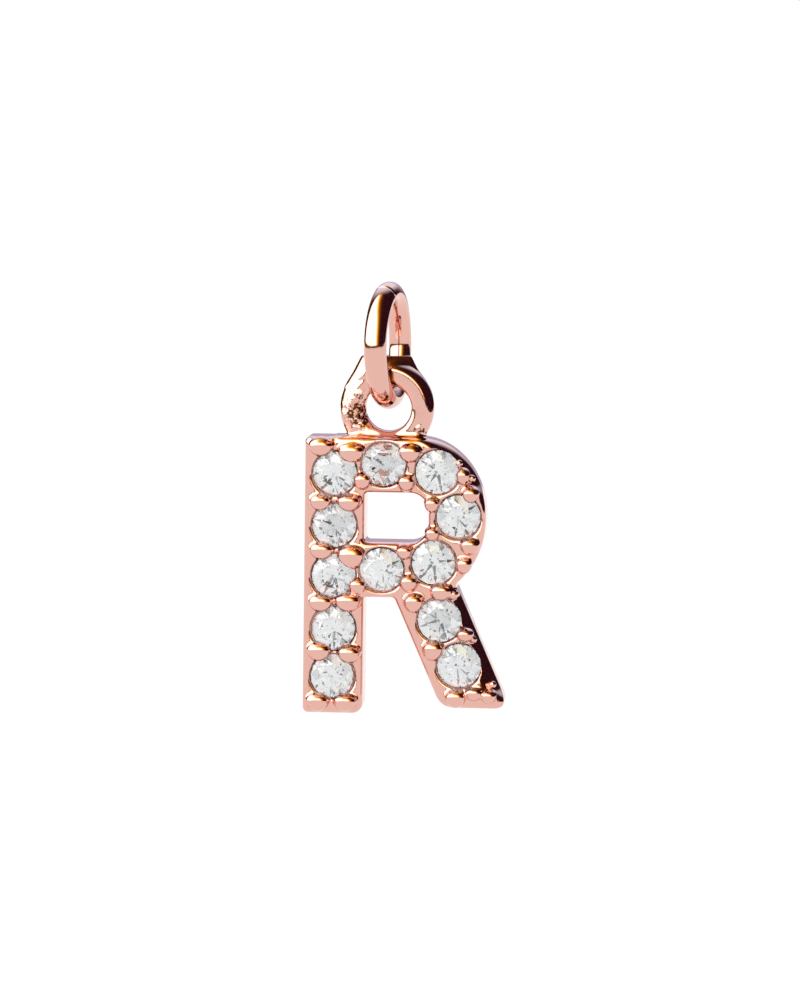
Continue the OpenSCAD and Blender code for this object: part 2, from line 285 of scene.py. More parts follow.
def box_middle(node):
    low, high = (np.array(corner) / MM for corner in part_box(node))
    return (low + high) / 2


def letter_axes():
    """The foot corner of the stem in the frame, and the letter's own right and up, in millimetres.

    The stem's row of stones gives the angle at which the letter hangs.
    """
    top, foot = box_middle(stone_name(1)), box_middle(stone_name(5))
    up = np.array([top[0] - foot[0], 0, top[2] - foot[2]])
    up /= np.linalg.norm(up)
    right = np.array([up[2], 0, -up[0]])
    corner = np.array([top[0], 0, top[2]]) - right * STEM_W / 2 - up * (LETTER_H - STEM_ROW_TOP)
    return corner, right, up


CORNER, RIGHT, UP = letter_axes()
LETTER_T = 2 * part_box("letter_setting")[1][1] / MM
FACE = LETTER_T / 2


def to_letter(point):
    """A point of the frame, in the letter's own right and up."""
    return np.array([(point - CORNER) @ RIGHT, (point - CORNER) @ UP])


STONES = [to_letter(box_middle(stone_name(i))) for i in STONE_NUMBERS]


def prong_places():
    """Place, radius and stretch of each bead prong in the letter's face."""
    places = []
    for start, end, along, beside, radius, stretch in PRONGS:
        a, b = STONES[start - 1], STONES[end - 1]
        way = (b - a) / np.linalg.norm(b - a)
        side = np.array([-way[1], way[0]])
        places.append((a + along * (b - a) + beside * STONE_D * side, radius * STONE_D, stretch))
    return places


# Shapes, each as the distance to its surface, below zero inside


def ease(share):
    share = np.clip(share, 0, 1)
    return share * share * (3 - 2 * share)


def rise(value, start, span):
    """From 0 up to the start, to 1 a span past it."""
    return ease((value - start) / span)


def fall(value, end, span):
    """From 1 up to a span before the end, to 0 past it."""
    return ease((end - value) / span)


def blend(a, b, softness):
    """Joins two solids, with a soft inner corner."""
    share = np.clip(0.5 + 0.5 * (b - a) / softness, 0, 1)
    return b + (a - b) * share - softness * share * (1 - share)


def carve(a, b, softness):
    """Takes solid b out of solid a, with a soft edge."""
    return -blend(-a, b, softness)


def overlap(a, b, softness):
    """What two solids share, with a soft edge."""
    return -blend(-a, -b, softness)


def rounded_box(x, y, half_w, half_h, radius):
    qx = np.abs(x) - half_w + radius
    qy = np.abs(y) - half_h + radius
    outside = np.hypot(np.maximum(qx, 0), np.maximum(qy, 0))
    return np.minimum(np.maximum(qx, qy), 0) + outside - radius


def plate(outline, z, half_t, front, back, power=ROUND):
    """A flat outline given a thickness. Front and back give the width and height of the round
    along its edges."""
    width = np.where(z > 0, front[0], back[0])
    height = np.where(z > 0, front[1], back[1])
    a = outline / width + 1
    b = (np.abs(z) - half_t) / height + 1
    near = (np.maximum(a, 0)**power + np.maximum(b, 0)**power)**(1 / power)
    return (np.minimum(np.maximum(a, b), 0) + near - 1) * np.minimum(width, height)


def leg_beside(x, y):
    """How far a point is to the right of the leg's middle line."""
    middle = LEG_REACH - LEG_W / math.cos(LEG_LEAN) / 2
    return (x - middle) * math.cos(LEG_LEAN) + (y - LEG_LIFT) * math.sin(LEG_LEAN)


def stem_outline(x, y):
    foot = np.where(x > STEM_W / 2, STEM_FOOT_RIGHT_R, STEM_FOOT_LEFT_R)
    radius = np.where(y > LETTER_H / 2, STEM_HEAD_R, foot)
    return rounded_box(x - STEM_W / 2, y - LETTER_H / 2, STEM_W / 2, LETTER_H / 2, radius)


def bowl_outline(x, y):
    """The two bars and the bowl as one filled outline: level bars, then half an ellipse."""
    px = np.maximum(x - BOWL_ROUND_X, 0)
    py = y - BOWL_MID
    near = np.hypot(px / BOWL_ROUND_W, py / BOWL_HALF_H)
    slope = np.hypot(px / BOWL_ROUND_W**2, py / BOWL_HALF_H**2) + TINY
    return np.maximum(near * (near - 1) / slope, STEM_W / 2 - x)


def leg_outline(x, y):
    """The leg down to its foot. Its upper end is hidden in the lower bar."""
    beside = leg_beside(x, y)
    foot = LEG_LIFT - y
    left = overlap(-beside - LEG_W / 2, foot, LEG_FOOT_LEFT_R)
    right = overlap(beside - LEG_W / 2, foot, LEG_FOOT_RIGHT_R)
    return np.maximum(np.maximum(left, right), y - BOWL_FOOT - BAR_H / 2)


def counter_outline(x, y):
    beside = x - STEM_W - COUNTER_W / 2
    radius = np.where(x > STEM_W + COUNTER_W / 2, COUNTER_RIGHT_R, COUNTER_LEFT_R)
    return rounded_box(beside, y - BOWL_MID, COUNTER_W / 2, COUNTER_H / 2, radius)


def outer_share(x, y):
    """How much a point belongs to the wide-rounded right sides of the bowl's top and the leg."""
    bowl = rise(x - BOWL_ROUND_X, *BOWL_WIDE_X) * rise(y - BOWL_MID, *BOWL_WIDE_Y)
    leg = rise(leg_beside(x, y), *LEG_WIDE_X)
    leg = leg * fall(y, BOWL_FOOT + LEG_WIDE_TOP[0], LEG_WIDE_TOP[1])
    leg = leg * rise(y - LEG_LIFT, *LEG_WIDE_FOOT)
    return np.maximum(bowl, leg)


def upper_edge_share(x, y, outer):
    """How much a point belongs to the edges that face up: the letter's top and the counter's
    foot."""
    top = rise(y - LETTER_H, *TOP_RISE_Y) * (1 - outer) * rise(x, *TOP_RISE_X)
    sill = rise(y - COUNTER_FOOT, *SILL_BELOW)
    sill = sill * fall(y, COUNTER_FOOT + SILL_ABOVE[0], SILL_ABOVE[1])
    sill = sill * rise(x - STEM_W, *SILL_LEFT)
    sill = sill * fall(x, STEM_W + COUNTER_W + SILL_RIGHT[0], SILL_RIGHT[1])
    return np.maximum(top, sill)


def prong(x, y, z, place, radius, stretch):
    """A bead of metal pushed over the stones' edges. Its face falls gently below a crest, and it
    drops away more steeply above."""
    half_w = radius * math.sqrt(stretch)
    half_h = radius / math.sqrt(stretch)
    half_z = PRONG_RISE * min(1, radius / PRONG_FULL_R) + PRONG_SINK
    above = y - place[1] - PRONG_CREST * half_h
    qa = (x - place[0]) / half_w
    qu = above / (half_h * np.where(above > 0, 1 - PRONG_CREST, 1 + PRONG_CREST))
    qz = (z - FACE + PRONG_SINK + PRONG_FALL * np.maximum(-above, 0)) / half_z
    flat = np.hypot(qa, qu) + TINY
    way = qu / flat
    change = np.where(
        way > 0, PRONG_POWER_ABOVE - PRONG_POWER_BESIDE, PRONG_POWER_BESIDE - PRONG_POWER_BELOW
    )
    power = PRONG_POWER_BESIDE + way * change
    near = (flat**power + np.abs(qz)**power)**(1 / power) + TINY
    flat_slope = (flat / near)**(power - 1) / radius
    high_slope = (np.abs(qz) / near)**(power - 1) / half_z
    return (near - 1) / (np.hypot(flat_slope, high_slope) + TINY)


def seat(x, y, z, place):
    """The cut that a stone sits in: a cone below its girdle and a straight wall above, with a
    flared mouth."""
    away = np.hypot(x - place[0], y - place[1])
    depth = FACE - GIRDLE_DEPTH - SEAT_DROP - z
    room = STONE_R + SEAT_PLAY - np.maximum(depth, 0) * SEAT_SLOPE
    flare = np.maximum(z - FACE + FLARE_DEPTH, 0) * FLARE_SLOPE
    return (away - room - flare) * SEAT_TRUE


def stone_room(x, y, z, place):
    """The stone's own form and a hair more, which keeps the beads off its crown."""
    away = np.hypot(x - place[0], y - place[1])
    height = z - FACE + GIRDLE_DEPTH
    crown = away - (STONE_R + ROOM_PLAY) + np.maximum(height, 0) * CROWN_SLOPE
    return np.maximum(np.maximum(crown * ROOM_TRUE, height - ROOM_ABOVE), -height - ROOM_BELOW)


def lumps(x, y, z):
    """Uneven ground between -1 and 1, as a casting has where no wheel reaches to polish it."""
    total = np.zeros_like(x)
    for scale, weight in LUMP_STEPS:
        place = np.stack((x, y, z)) * scale
        cell = np.floor(place).astype(np.int64)
        part = ease(place - cell)
        for corner in np.ndindex(2, 2, 2):
            i, j, k = ((cell[axis] + corner[axis]) * LUMP_MIX[axis] for axis in range(3))
            level = (i ^ j ^ k) % LUMP_LEVELS / (LUMP_LEVELS // 2) - 1
            share = 1.0
            for axis in range(3):
                share = share * (part[axis] if corner[axis] else 1 - part[axis])
            total = total + weight * level * share
    return total


def rough_share(lx, ly, spot):
    """How much a point of the loop lies in a rough place."""
    return ease(ROUGH_END - np.hypot(lx - spot[0], ly - spot[1]) / spot[2])


def loop(x, y, z):
    """The loop with its shoulder, and how far each point is from the axis of its hole."""
    lx = x - LOOP_FROM_LEFT
    ly = y - LETTER_H - LOOP_RISE
    away = np.hypot(lx, ly)
    inner = HOLE_R - away
    top = HOLE_R + LOOP_BAND + SHOULDER_RISE
    beside = lx - SHOULDER_SHIFT
    flank = np.abs(beside) - SHOULDER_W / 2 - SHOULDER_SLOPE * (top - ly)
    flank = flank / math.hypot(1, SHOULDER_SLOPE)

    disc = np.hypot(lx - BAND_SHIFT, ly) - HOLE_R - LOOP_BAND
    horn = np.maximum(np.maximum(flank, HORN_FOOT - ly), beside - HORN_RIGHT)
    outer = blend(disc, horn, HORN_BLEND)
    upper = rise(ly, *LOOP_UPPER)
    left = fall(lx, *LOOP_LEFT)
    worn = rough_share(lx, ly, LOOP_ROUGH[0])
    outside = outer > inner
    edge_w = LOOP_EDGE_W - TOP_NARROWER * upper + LEFT_WIDER * left * upper
    edge_w = np.where(outside, edge_w, HOLE_EDGE + WORN_WIDER * worn)
    edge_h = LOOP_EDGE_H + TOP_DEEPER * upper
    edge_h = np.where(outside, edge_h, HOLE_EDGE + WORN_DEEPER * worn)
    power = np.where(outside, ROUND - TOP_BEVEL * upper, ROUND)
    outline = np.maximum(outer, inner)
    band = plate(outline, z, LOOP_T / 2, (edge_w, edge_h), LOOP_BACK_EDGE, power)

    wedge = np.maximum(np.maximum(flank, SHOULDER_FOOT - ly), SHOULDER_LEFT - beside)
    shoulder = plate(wedge, z, SHOULDER_HALF_T, SHOULDER_EDGE, SHOULDER_BACK_EDGE)
    filed = 0
    for value, at, way in zip((beside, ly, z), FILED_AT, FILED_WAY):
        filed = filed + (value - at) * way
    shoulder = overlap(shoulder, filed, FILED_BLEND)

    whole = overlap(blend(band, shoulder, SHOULDER_BLEND), ly - top, FILED_BLEND)
    for spot in LOOP_ROUGH:
        share = rough_share(lx, ly, spot) * ease(z / ROUGH_DEPTH + 0.5)
        near = share > 0
        whole[near] -= spot[3] * share[near] * lumps(lx[near], ly[near], z[near])
    return whole, away


def near_place(x, y, place, reach):
    return (np.abs(x - place[0]) < reach) & (np.abs(y - place[1]) < reach)


def cut_at_stones(body, x, y, z, shape, softness):
    """Takes a shape out of the metal at each stone."""
    for place in STONES:
        near = near_place(x, y, place, STONE_REACH)
        body[near] = carve(body[near], shape(x[near], y[near], z[near], place), softness)


def letter_field(x, y, z):
    """The whole casting."""
    outline = blend(stem_outline(x, y), bowl_outline(x, y), CORNER_BLEND)
    outline = blend(outline, leg_outline(x, y), CORNER_BLEND)
    outline = carve(outline, counter_outline(x, y), COUNTER_BLEND)
    outer = outer_share(x, y)
    top = upper_edge_share(x, y, outer)
    wide = FACE_EDGE_W + (OUTER_EDGE_W - FACE_EDGE_W) * outer
    deep = FACE_EDGE_H + (OUTER_EDGE_H - FACE_EDGE_H) * outer + (TOP_EDGE_H - FACE_EDGE_H) * top
    power = np.where(z > 0, ROUND - OUTER_BEVEL * outer, ROUND)
    body = plate(outline, z, LETTER_T / 2, (wide, deep), (BACK_EDGE_R, BACK_EDGE_R), power)

    cut_at_stones(body, x, y, z, seat, SEAT_BLEND)
    for place, radius, stretch in prong_places():
        near = near_place(x, y, place, PRONG_REACH) & (z > 0)
        bead = prong(x[near], y[near], z[near], place, radius, stretch)
        body[near] = blend(body[near], bead, PRONG_BLEND)
    for right, up, height in NUBS:
        nub = np.sqrt((x - right)**2 + (y - up)**2 + (z - FACE - height)**2) - NUB_R
        body = blend(body, nub, PRONG_BLEND)
    cut_at_stones(body, x, y, z, stone_room, ROOM_BLEND)

    hanger, from_hole = loop(x, y, z)
    whole = blend(body, hanger, LOOP_BLEND)
    return carve(whole, from_hole - HOLE_R, HOLE_BLEND)


# Drawing a mesh over a shape


CELL_CORNERS = [(i, j, k) for i in (0, 1) for j in (0, 1) for k in (0, 1)]
CELL_EDGES = [
    ((0, 0, 0), (1, 0, 0)), ((0, 1, 0), (1, 1, 0)), ((0, 0, 1), (1, 0, 1)), ((0, 1, 1), (1, 1, 1)),
    ((0, 0, 0), (0, 1, 0)), ((1, 0, 0), (1, 1, 0)), ((0, 0, 1), (0, 1, 1)), ((1, 0, 1), (1, 1, 1)),
    ((0, 0, 0), (0, 0, 1)), ((1, 0, 0), (1, 0, 1)), ((0, 1, 0), (0, 1, 1)), ((1, 1, 0), (1, 1, 1)),
]
# A quad's corners in order round it, as steps in its plane
AROUND = ((0, 0), (1, 0), (1, 1), (0, 1))


def net_points(values, crossed):
    """One corner in each crossed cell, in the middle of where its edges cross the surface."""
    cells = np.argwhere(crossed)
    total = np.zeros((len(cells), 3))
    hits = np.zeros(len(cells))
    for start, end in CELL_EDGES:
        a = cells + np.array(start)
        b = cells + np.array(end)
        va = values[tuple(a.T)]
        vb = values[tuple(b.T)]
        cut = (va < 0) != (vb < 0)
        share = np.where(cut, va / np.where(cut, va - vb, 1), 0)
        point = a + share[:, None] * (b - a)
        total[cut] += point[cut]
        hits[cut] += 1
    return np.array(NET_LOW) + CELL * total / hits[:, None]


def net_quads(inside, number):
    """A quad over each edge of the grid that crosses the surface, facing out of the solid."""
    quads = []
    for axis in range(3):
        step = [0, 0, 0]
        step[axis] = 1
        first = inside[tuple(slice(0, n - s) for n, s in zip(inside.shape, step))]
        second = inside[tuple(slice(s, n) for n, s in zip(inside.shape, step))]
        where = np.argwhere(first != second)
        u, v = (axis + 1) % 3, (axis + 2) % 3
        where = where[(where[:, u] > 0) & (where[:, v] > 0)]
        outward = first[tuple(where.T)]
        corners = []
        for du, dv in AROUND:
            cell = where.copy()
            cell[:, u] -= du
            cell[:, v] -= dv
            corners.append(number[tuple(cell.T)])
        quad = np.stack(corners, axis=1)
        quad[~outward] = quad[~outward][:, ::-1]
        quads.append(quad)
    return np.concatenate(quads)


def surface_net(field):
    """Corners and quads of the surface where the field is zero."""
    axes = [np.arange(low, high + CELL, CELL) for low, high in zip(NET_LOW, NET_HIGH)]
    values = field(*np.meshgrid(*axes, indexing="ij"))
    inside = values < 0
    nx, ny, nz = values.shape
    count = sum(
        inside[i:nx - 1 + i, j:ny - 1 + j, k:nz - 1 + k].astype(np.int8) for i, j, k in CELL_CORNERS
    )
    crossed = (count > 0) & (count < len(CELL_CORNERS))
    number = np.full(crossed.shape, -1, dtype=np.int64)
    number[crossed] = np.arange(crossed.sum())
    return net_points(values, crossed), net_quads(inside, number)


def slope_of(field, points):
    columns = []
    for axis in range(3):
        shift = np.zeros(3)
        shift[axis] = SLOPE_STEP
        ahead = field(*(points + shift).T)
        behind = field(*(points - shift).T)
        columns.append((ahead - behind) / (2 * SLOPE_STEP))
    return np.stack(columns, axis=1)


def settle(field, points, rounds):
    """Moves each corner of the net onto the surface itself."""
    for _ in range(rounds):
        slope = slope_of(field, points)
        size = np.maximum((slope * slope).sum(axis=1), LEAST_SLOPE)
        move = -field(*points.T)[:, None] * slope / size[:, None]
        length = np.linalg.norm(move, axis=1, keepdims=True)
        points = points + move * np.minimum(1, LONGEST_MOVE / np.maximum(length, TINY))
    return points


def relax(points, quads):
    """Moves each corner halfway to the middle of its neighbours, so that the polish has no
    ripples."""
    total = np.zeros_like(points)
    hits = np.zeros(len(points))
    for a, b in ((0, 1), (1, 2), (2, 3), (3, 0)):
        np.add.at(total, quads[:, a], points[quads[:, b]])
        np.add.at(total, quads[:, b], points[quads[:, a]])
        np.add.at(hits, quads[:, a], 1)
        np.add.at(hits, quads[:, b], 1)
    return points + (total / hits[:, None] - points) / 2


def placed(name, data):
    """A new object in the scene."""
    thing = bpy.data.objects.new(name, data)
    bpy.context.scene.collection.objects.link(thing)
    return thing


def letter_to_frame(points):
    flat = CORNER + points[:, :1] * RIGHT + points[:, 1:2] * UP
    flat[:, 1] = -points[:, 2]
    return flat


def make_casting():
    points, quads = surface_net(letter_field)
    points = settle(letter_field, points, rounds=3)
    points = settle(letter_field, relax(points, quads), rounds=2)
    mesh = bpy.data.meshes.new("cast_letter")
    mesh.from_pydata((letter_to_frame(points) * MM).tolist(), [], quads[:, ::-1].tolist())
    mesh.update()
    mesh.validate()
    mesh.polygons.foreach_set("use_smooth", [True] * len(mesh.polygons))
    return placed("cast_letter", mesh)


# Helpers for node trees


def feed(tree, socket, value):
    """Gives a socket a plain value, or links another node's output to it."""
    if isinstance(value, (int, float, tuple)):
        socket.default_value = value
    else:
        tree.links.new(value, socket)


def maths(tree, kind, a, b=0.0):
    node = tree.nodes.new("ShaderNodeMath")
    node.operation = kind
    for socket, value in zip(node.inputs, (a, b)):
        feed(tree, socket, value)
    return node.outputs[0]


def times(tree, a, b):
    return maths(tree, "MULTIPLY", a, b)


def split(tree, vector):
    """The X, Y and Z of a vector."""
    parts = tree.nodes.new("ShaderNodeSeparateXYZ")
    tree.links.new(vector, parts.inputs[0])
    return parts.outputs


def spread(tree, source, start, end, low=0.0, high=1.0, kind="LINEAR"):
    """Brings what lies between start and end to lie between low and high."""
    span = tree.nodes.new("ShaderNodeMapRange")
    span.interpolation_type = kind
    for name, value in (("From Min", start), ("From Max", end), ("To Min", low), ("To Max", high)):
        span.inputs[name].default_value = value
    tree.links.new(source, span.inputs["Value"])
    return span.outputs[0]


def mixed(tree, share, first, second, kind="MIX"):
    """Mixes two colours."""
    node = tree.nodes.new("ShaderNodeMix")
    node.data_type = "RGBA"
    node.blend_type = kind
    sockets = (node.inputs["Factor"], node.inputs[6], node.inputs[7])
    for socket, value in zip(sockets, (share, first, second)):
        feed(tree, socket, value)
    return node.outputs[2]


# The jump ring


def bent_wire_tree():
    """Nodes that bend a length of round wire to a ring, its ends meeting at a hair-fine seam."""
    tree = bpy.data.node_groups.new("bent_round_wire", "GeometryNodeTree")
    face = tree.interface
    sizes = ["Bend Radius", "Wire Radius", "Seam Angle", "Seam Gap", "End Round", "Sideways Bow"]
    for name in sizes:
        face.new_socket(name, in_out="INPUT", socket_type="NodeSocketFloat")
    for name in ("Stations", "Sides"):
        face.new_socket(name, in_out="INPUT", socket_type="NodeSocketInt")
    face.new_socket("Metal", in_out="INPUT", socket_type="NodeSocketMaterial")
    face.new_socket("Geometry", in_out="OUTPUT", socket_type="NodeSocketGeometry")
    nodes, links = tree.nodes, tree.links
    given = nodes.new("NodeGroupInput").outputs
    result = nodes.new("NodeGroupOutput").inputs

    arc = nodes.new("GeometryNodeCurveArc")
    arc.mode = "RADIUS"
    gap_angle = maths(tree, "DIVIDE", given["Seam Gap"], given["Bend Radius"])
    start_angle = maths(tree, "ADD", given["Seam Angle"], times(tree, gap_angle, 0.5))
    links.new(given["Stations"], arc.inputs["Resolution"])
    links.new(given["Bend Radius"], arc.inputs["Radius"])
    links.new(start_angle, arc.inputs["Start Angle"])
    links.new(maths(tree, "SUBTRACT", math.tau, gap_angle), arc.inputs["Sweep Angle"])

    place = split(tree, nodes.new("GeometryNodeInputPosition").outputs[0])
    level = maths(tree, "DIVIDE", place["Y"], given["Bend Radius"])
    bow = nodes.new("ShaderNodeCombineXYZ")
    links.new(times(tree, times(tree, level, level), given["Sideways Bow"]), bow.inputs["Z"])
    bend = nodes.new("GeometryNodeSetPosition")
    links.new(arc.outputs["Curve"], bend.inputs["Geometry"])
    links.new(bow.outputs[0], bend.inputs["Offset"])

    along = nodes.new("GeometryNodeSplineParameter").outputs["Factor"]
    to_end = maths(tree, "MINIMUM", along, maths(tree, "SUBTRACT", 1.0, along))
    to_end = times(tree, times(tree, to_end, math.tau), given["Bend Radius"])
    in_round = maths(tree, "MINIMUM", maths(tree, "DIVIDE", to_end, given["End Round"]), 1.0)
    thinner = maths(tree, "DIVIDE", given["End Round"], given["Wire Radius"])
    thinner = times(tree, thinner, maths(tree, "SUBTRACT", 1.0, in_round))
    section = nodes.new("GeometryNodeCurvePrimitiveCircle")
    links.new(given["Sides"], section.inputs["Resolution"])
    links.new(given["Wire Radius"], section.inputs["Radius"])
    wire = nodes.new("GeometryNodeCurveToMesh")
    wire.inputs["Fill Caps"].default_value = True
    links.new(bend.outputs["Geometry"], wire.inputs["Curve"])
    links.new(section.outputs["Curve"], wire.inputs["Profile Curve"])
    links.new(maths(tree, "SUBTRACT", 1.0, thinner), wire.inputs["Scale"])

    whole = nodes.new("GeometryNodeRealizeInstances")
    dressed = nodes.new("GeometryNodeSetMaterial")
    links.new(wire.outputs["Mesh"], whole.inputs["Geometry"])
    links.new(whole.outputs["Geometry"], dressed.inputs["Geometry"])
    links.new(given["Metal"], dressed.inputs["Material"])
    links.new(dressed.outputs["Geometry"], result["Geometry"])
    return tree


def grown(name, tree, values):
    """A plain mesh object made by a node tree from named values."""
    seed = placed(name + "_seed", bpy.data.meshes.new(name + "_seed"))
    nodes = seed.modifiers.new("grow", "NODES")
    nodes.node_group = tree
    for socket in tree.interface.items_tree:
        if socket.name in values:
            nodes[socket.identifier] = values[socket.name]
    depsgraph = bpy.context.evaluated_depsgraph_get()
    mesh = bpy.data.meshes.new_from_object(seed.evaluated_get(depsgraph), depsgraph=depsgraph)
    bpy.data.objects.remove(seed)
    mesh.name = name
    return placed(name, mesh)


def make_jump_ring(metal):
    bend_r = RING_OD / 2 - WIRE_D / 2
    thing = grown("wire_ring", bent_wire_tree(), {
        "Bend Radius": bend_r * MM, "Wire Radius": WIRE_D / 2 * MM, "Seam Angle": SEAM_ANGLE,
        "Seam Gap": SEAM_GAP * MM, "End Round": WIRE_END_ROUND * MM,
        "Sideways Bow": RING_BOW * MM, "Stations": WIRE_STATIONS, "Sides": WIRE_SIDES,
        "Metal": metal,
    })
    up = Vector((0, 0, 1))
    level = Vector((math.sin(RING_TURN), math.cos(RING_TURN), 0))
    turn = Matrix((up, -level, level.cross(up))).transposed().to_4x4()
    thing.data.transform(Matrix.Translation(-(bend_r - WIRE_D / 2) * MM * up) @ turn)
    for polygon in thing.data.polygons:
        polygon.use_smooth = len(polygon.vertices) == 4
    return thing


# Materials

ROSE_TINTS = ((0.8, 0.462, 0.39, 1), (0.78, 0.456, 0.388, 1))
RESIDUE_BROWN = (0.1, 0.035, 0.014, 1)
# Levels of the pitted grain between which residue begins to show and covers the metal
RESIDUE_LEVELS = (0.43, 0.51)
STONE_TINTS = ((0.85, 0.875, 0.88, 1), (0.9, 0.905, 0.91, 1))
STONE_IOR = 2.16
# The levels between which nearly all of a noise lies
NOISE_LEVELS = (0.35, 0.65)
# The floor, in metres: half its side, and how far it lies below the part
FLOOR_HALF = 1.5
FLOOR_DROP = 0.045


def new_material(name):
    """A material, its node tree and its shader's inputs."""
    material = bpy.data.materials.new(name)
    material.use_nodes = True
    return material, material.node_tree, material.node_tree.nodes["Principled BSDF"].inputs


def in_millimetres(tree):
    """The place on the object, in millimetres."""
    place = tree.nodes.new("ShaderNodeTexCoord")
    scaled = tree.nodes.new("ShaderNodeMapping")
    scaled.inputs["Scale"].default_value = (1 / MM, 1 / MM, 1 / MM)
    tree.links.new(place.outputs["Object"], scaled.inputs["Vector"])
    return scaled.outputs["Vector"]


def noise(tree, place, scale, detail):
    texture = tree.nodes.new("ShaderNodeTexNoise")
    texture.inputs["Scale"].default_value = scale
    texture.inputs["Detail"].default_value = detail
    tree.links.new(place, texture.inputs["Vector"])
    return texture.outputs["Fac"]


def bumped(tree, layers):
    """Chains bump layers of height, strength and depth in millimetres, the coarsest first."""
    normal = None
    for height, strength, depth in layers:
        bump = tree.nodes.new("ShaderNodeBump")
        bump.inputs["Strength"].default_value = strength
        bump.inputs["Distance"].default_value = depth * MM
        tree.links.new(height, bump.inputs["Height"])
        if normal:
            tree.links.new(normal, bump.inputs["Normal"])
        normal = bump.outputs["Normal"]
    return normal


def cast_pits(tree, place, scale, detail):
    """A grain at the loop's rough places, as the mould leaves it there, and nothing elsewhere."""
    total = None
    for right, up, reach, _ in LOOP_ROUGH:
        spot = CORNER + RIGHT * (LOOP_FROM_LEFT + right) + UP * (LETTER_H + LOOP_RISE + up)
        away = tree.nodes.new("ShaderNodeVectorMath")
        away.operation = "DISTANCE"
        away.inputs[1].default_value = (spot[0], -LOOP_T / 2, spot[2])
        tree.links.new(place, away.inputs[0])
        edge = (PITS_FULL * reach, ROUGH_END * reach)
        share = spread(tree, away.outputs["Value"], *edge, low=1, high=0)
        total = share if total is None else maths(tree, "MAXIMUM", total, share)
    return times(tree, total, noise(tree, place, scale, detail))


def polished_rose_metal():
    """Plated metal off the buffing wheel: nearly a mirror, with soft ripples and hairline wear."""
    material, tree, look = new_material("polished_rose_metal")
    place = in_millimetres(tree)
    look["Metallic"].default_value = 1.0
    cloud = noise(tree, place, scale=1.6, detail=2.0)
    tint = mixed(tree, spread(tree, cloud, *NOISE_LEVELS), *ROSE_TINTS)
    residue = spread(tree, cast_pits(tree, place, scale=11.0, detail=3.0), *RESIDUE_LEVELS)
    tree.links.new(mixed(tree, residue, tint, RESIDUE_BROWN), look["Base Color"])
    hairline = noise(tree, place, scale=26.0, detail=2.0)
    wear = spread(tree, hairline, *NOISE_LEVELS, low=0.05, high=0.1)
    tree.links.new(wear, look["Roughness"])
    normal = bumped(tree, [
        (noise(tree, place, scale=2.2, detail=1.0), 0.25, 0.02),
        (hairline, 0.04, 0.002),
        (cast_pits(tree, place, scale=9.0, detail=3.0), 0.6, 0.03),
    ])
    tree.links.new(normal, look["Normal"])
    return material


def clear_stone():
    """A clear cut stone, very slightly grey, with a breath of dust on its facets."""
    material, tree, look = new_material("clear_brilliant")
    place = in_millimetres(tree)
    cloud = noise(tree, place, scale=1.1, detail=1.0)
    tint = mixed(tree, spread(tree, cloud, *NOISE_LEVELS), *STONE_TINTS)
    tree.links.new(tint, look["Base Color"])
    dust = noise(tree, place, scale=7.0, detail=2.0)
    dust = spread(tree, dust, *NOISE_LEVELS, low=0.0, high=0.025)
    tree.links.new(dust, look["Roughness"])
    look["IOR"].default_value = STONE_IOR
    look["Transmission Weight"].default_value = 1.0
    return material


def dress(thing, material):
    thing.data.materials.clear()
    thing.data.materials.append(material)


def make_floor():
    low = cad_bounds[0][2] - FLOOR_DROP
    sides = ((-1, -1), (1, -1), (1, 1), (-1, 1))
    mesh = bpy.data.meshes.new("floor")
    mesh.from_pydata([(FLOOR_HALF * a, FLOOR_HALF * b, low) for a, b in sides], [], [(0, 1, 2, 3)])
    floor = placed("floor", mesh)
    material, _, look = new_material("pale_floor")
    look["Base Color"].default_value = (0.9, 0.9, 0.9, 1)
    look["Roughness"].default_value = 0.9
    look["Specular IOR Level"].default_value = 0.0
    look["Emission Color"].default_value = (1, 1, 1, 1)
    look["Emission Strength"].default_value = 0.12
    mesh.materials.append(material)


# The studio. A direction's X is to the right, its Y away from the camera and its Z up.

# How the tall window's light falls off past its edge: share of full light, and colour there
WINDOW_FADE = [
    (0.0, (0.01, 0.002, 0.0045)),
    (0.12, (0.022, 0.0052, 0.0014)),
    (0.25, (0.06, 0.02, 0.002)),
    (0.45, (0.19, 0.085, 0.003)),
    (0.62, (0.42, 0.22, 0.01)),
    (0.76, (0.55, 0.46, 0.06)),
    (0.88, (0.85, 0.78, 0.5)),
    (1.0, (1.0, 1.0, 1.0)),
]
WINDOW_LIGHT = 2.6
# The window's right side, far side and sill: where its light is gone and where it is full
WINDOW_SIDE = (0.85, -0.1)
WINDOW_FAR = (0.22, 0.04)
WINDOW_SILL = (-0.005, 0.05)
# How the right side leans with Y and the far side with X, and how they close in with height (open
# out, below zero)
SIDE_LEAN = 0.12
SIDE_CLOSING = 0.4
FAR_LEAN = 0.35
FAR_CLOSING = -0.2
# The backdrop: where it begins and where it is full, how far it reaches overhead and how much it
# draws back at the sides, and between which heights its colour changes
BACKDROP_EDGE = (0.66, 0.97)
BACKDROP_OVERHEAD = 0.45
BACKDROP_ASIDE = 0.5
BACKDROP_HEIGHTS = (0.1, 0.5)
BACKDROP_HIGH = (1.0, 1.2, 1.45, 1)
BACKDROP_LOW = (0.5, 0.43, 0.56, 1)
# What a stone's inside sees: the window, the room and the backdrop
STONE_LIGHT = (1.0, 1.0, 1.0, 1)
STONE_DARK = (0.17, 0.175, 0.18, 1)
STONE_BACK = (0.7, 0.71, 0.72, 1)


